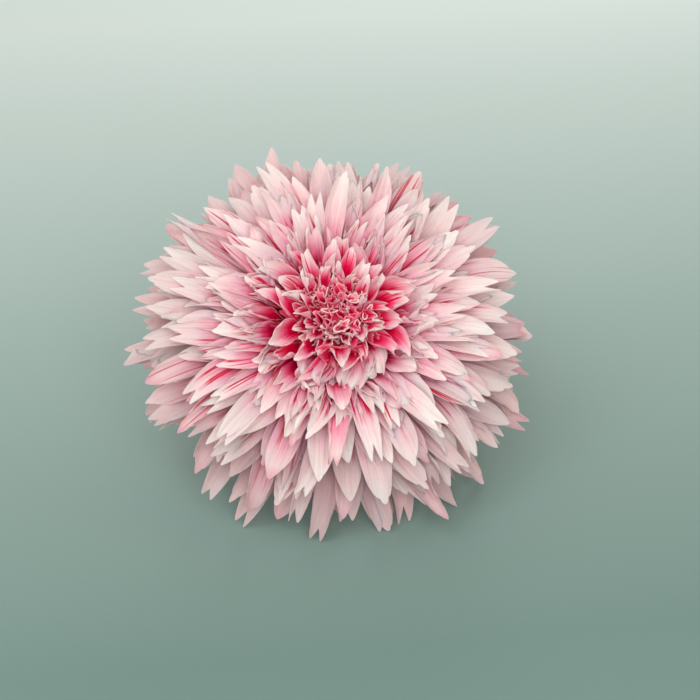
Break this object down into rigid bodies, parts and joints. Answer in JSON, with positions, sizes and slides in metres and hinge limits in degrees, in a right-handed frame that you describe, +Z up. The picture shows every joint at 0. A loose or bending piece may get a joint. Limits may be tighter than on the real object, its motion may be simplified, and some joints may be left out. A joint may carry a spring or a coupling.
{
  "type": "cut chrysanthemum bloom",
  "caption": "Cut spider chrysanthemum head, pale pink with crimson petal bases, lying on its lowest petals and short stem.",
  "frame": {"origin": "on the table under the middle of the flower's bounding box", "axes": "+Z up; the bloom faces -Y and upward, and the stem runs back and down towards +Y; +X is to the right of someone who looks at the bloom's face"},
  "size_m": [0.129, 0.1088, 0.0946],
  "materials": {
    "petal": "soft satin petal skin",
    "floret": "soft matte floret skin",
    "calyx_green": "matte leaf skin",
    "stem_green": "matte stalk skin"
  },
  "bodies": {
    "root": {"ray_petals": "petal", "centre_florets": "floret", "calyx": "calyx_green", "stem": "stem_green"}
  },
  "joints": []
}
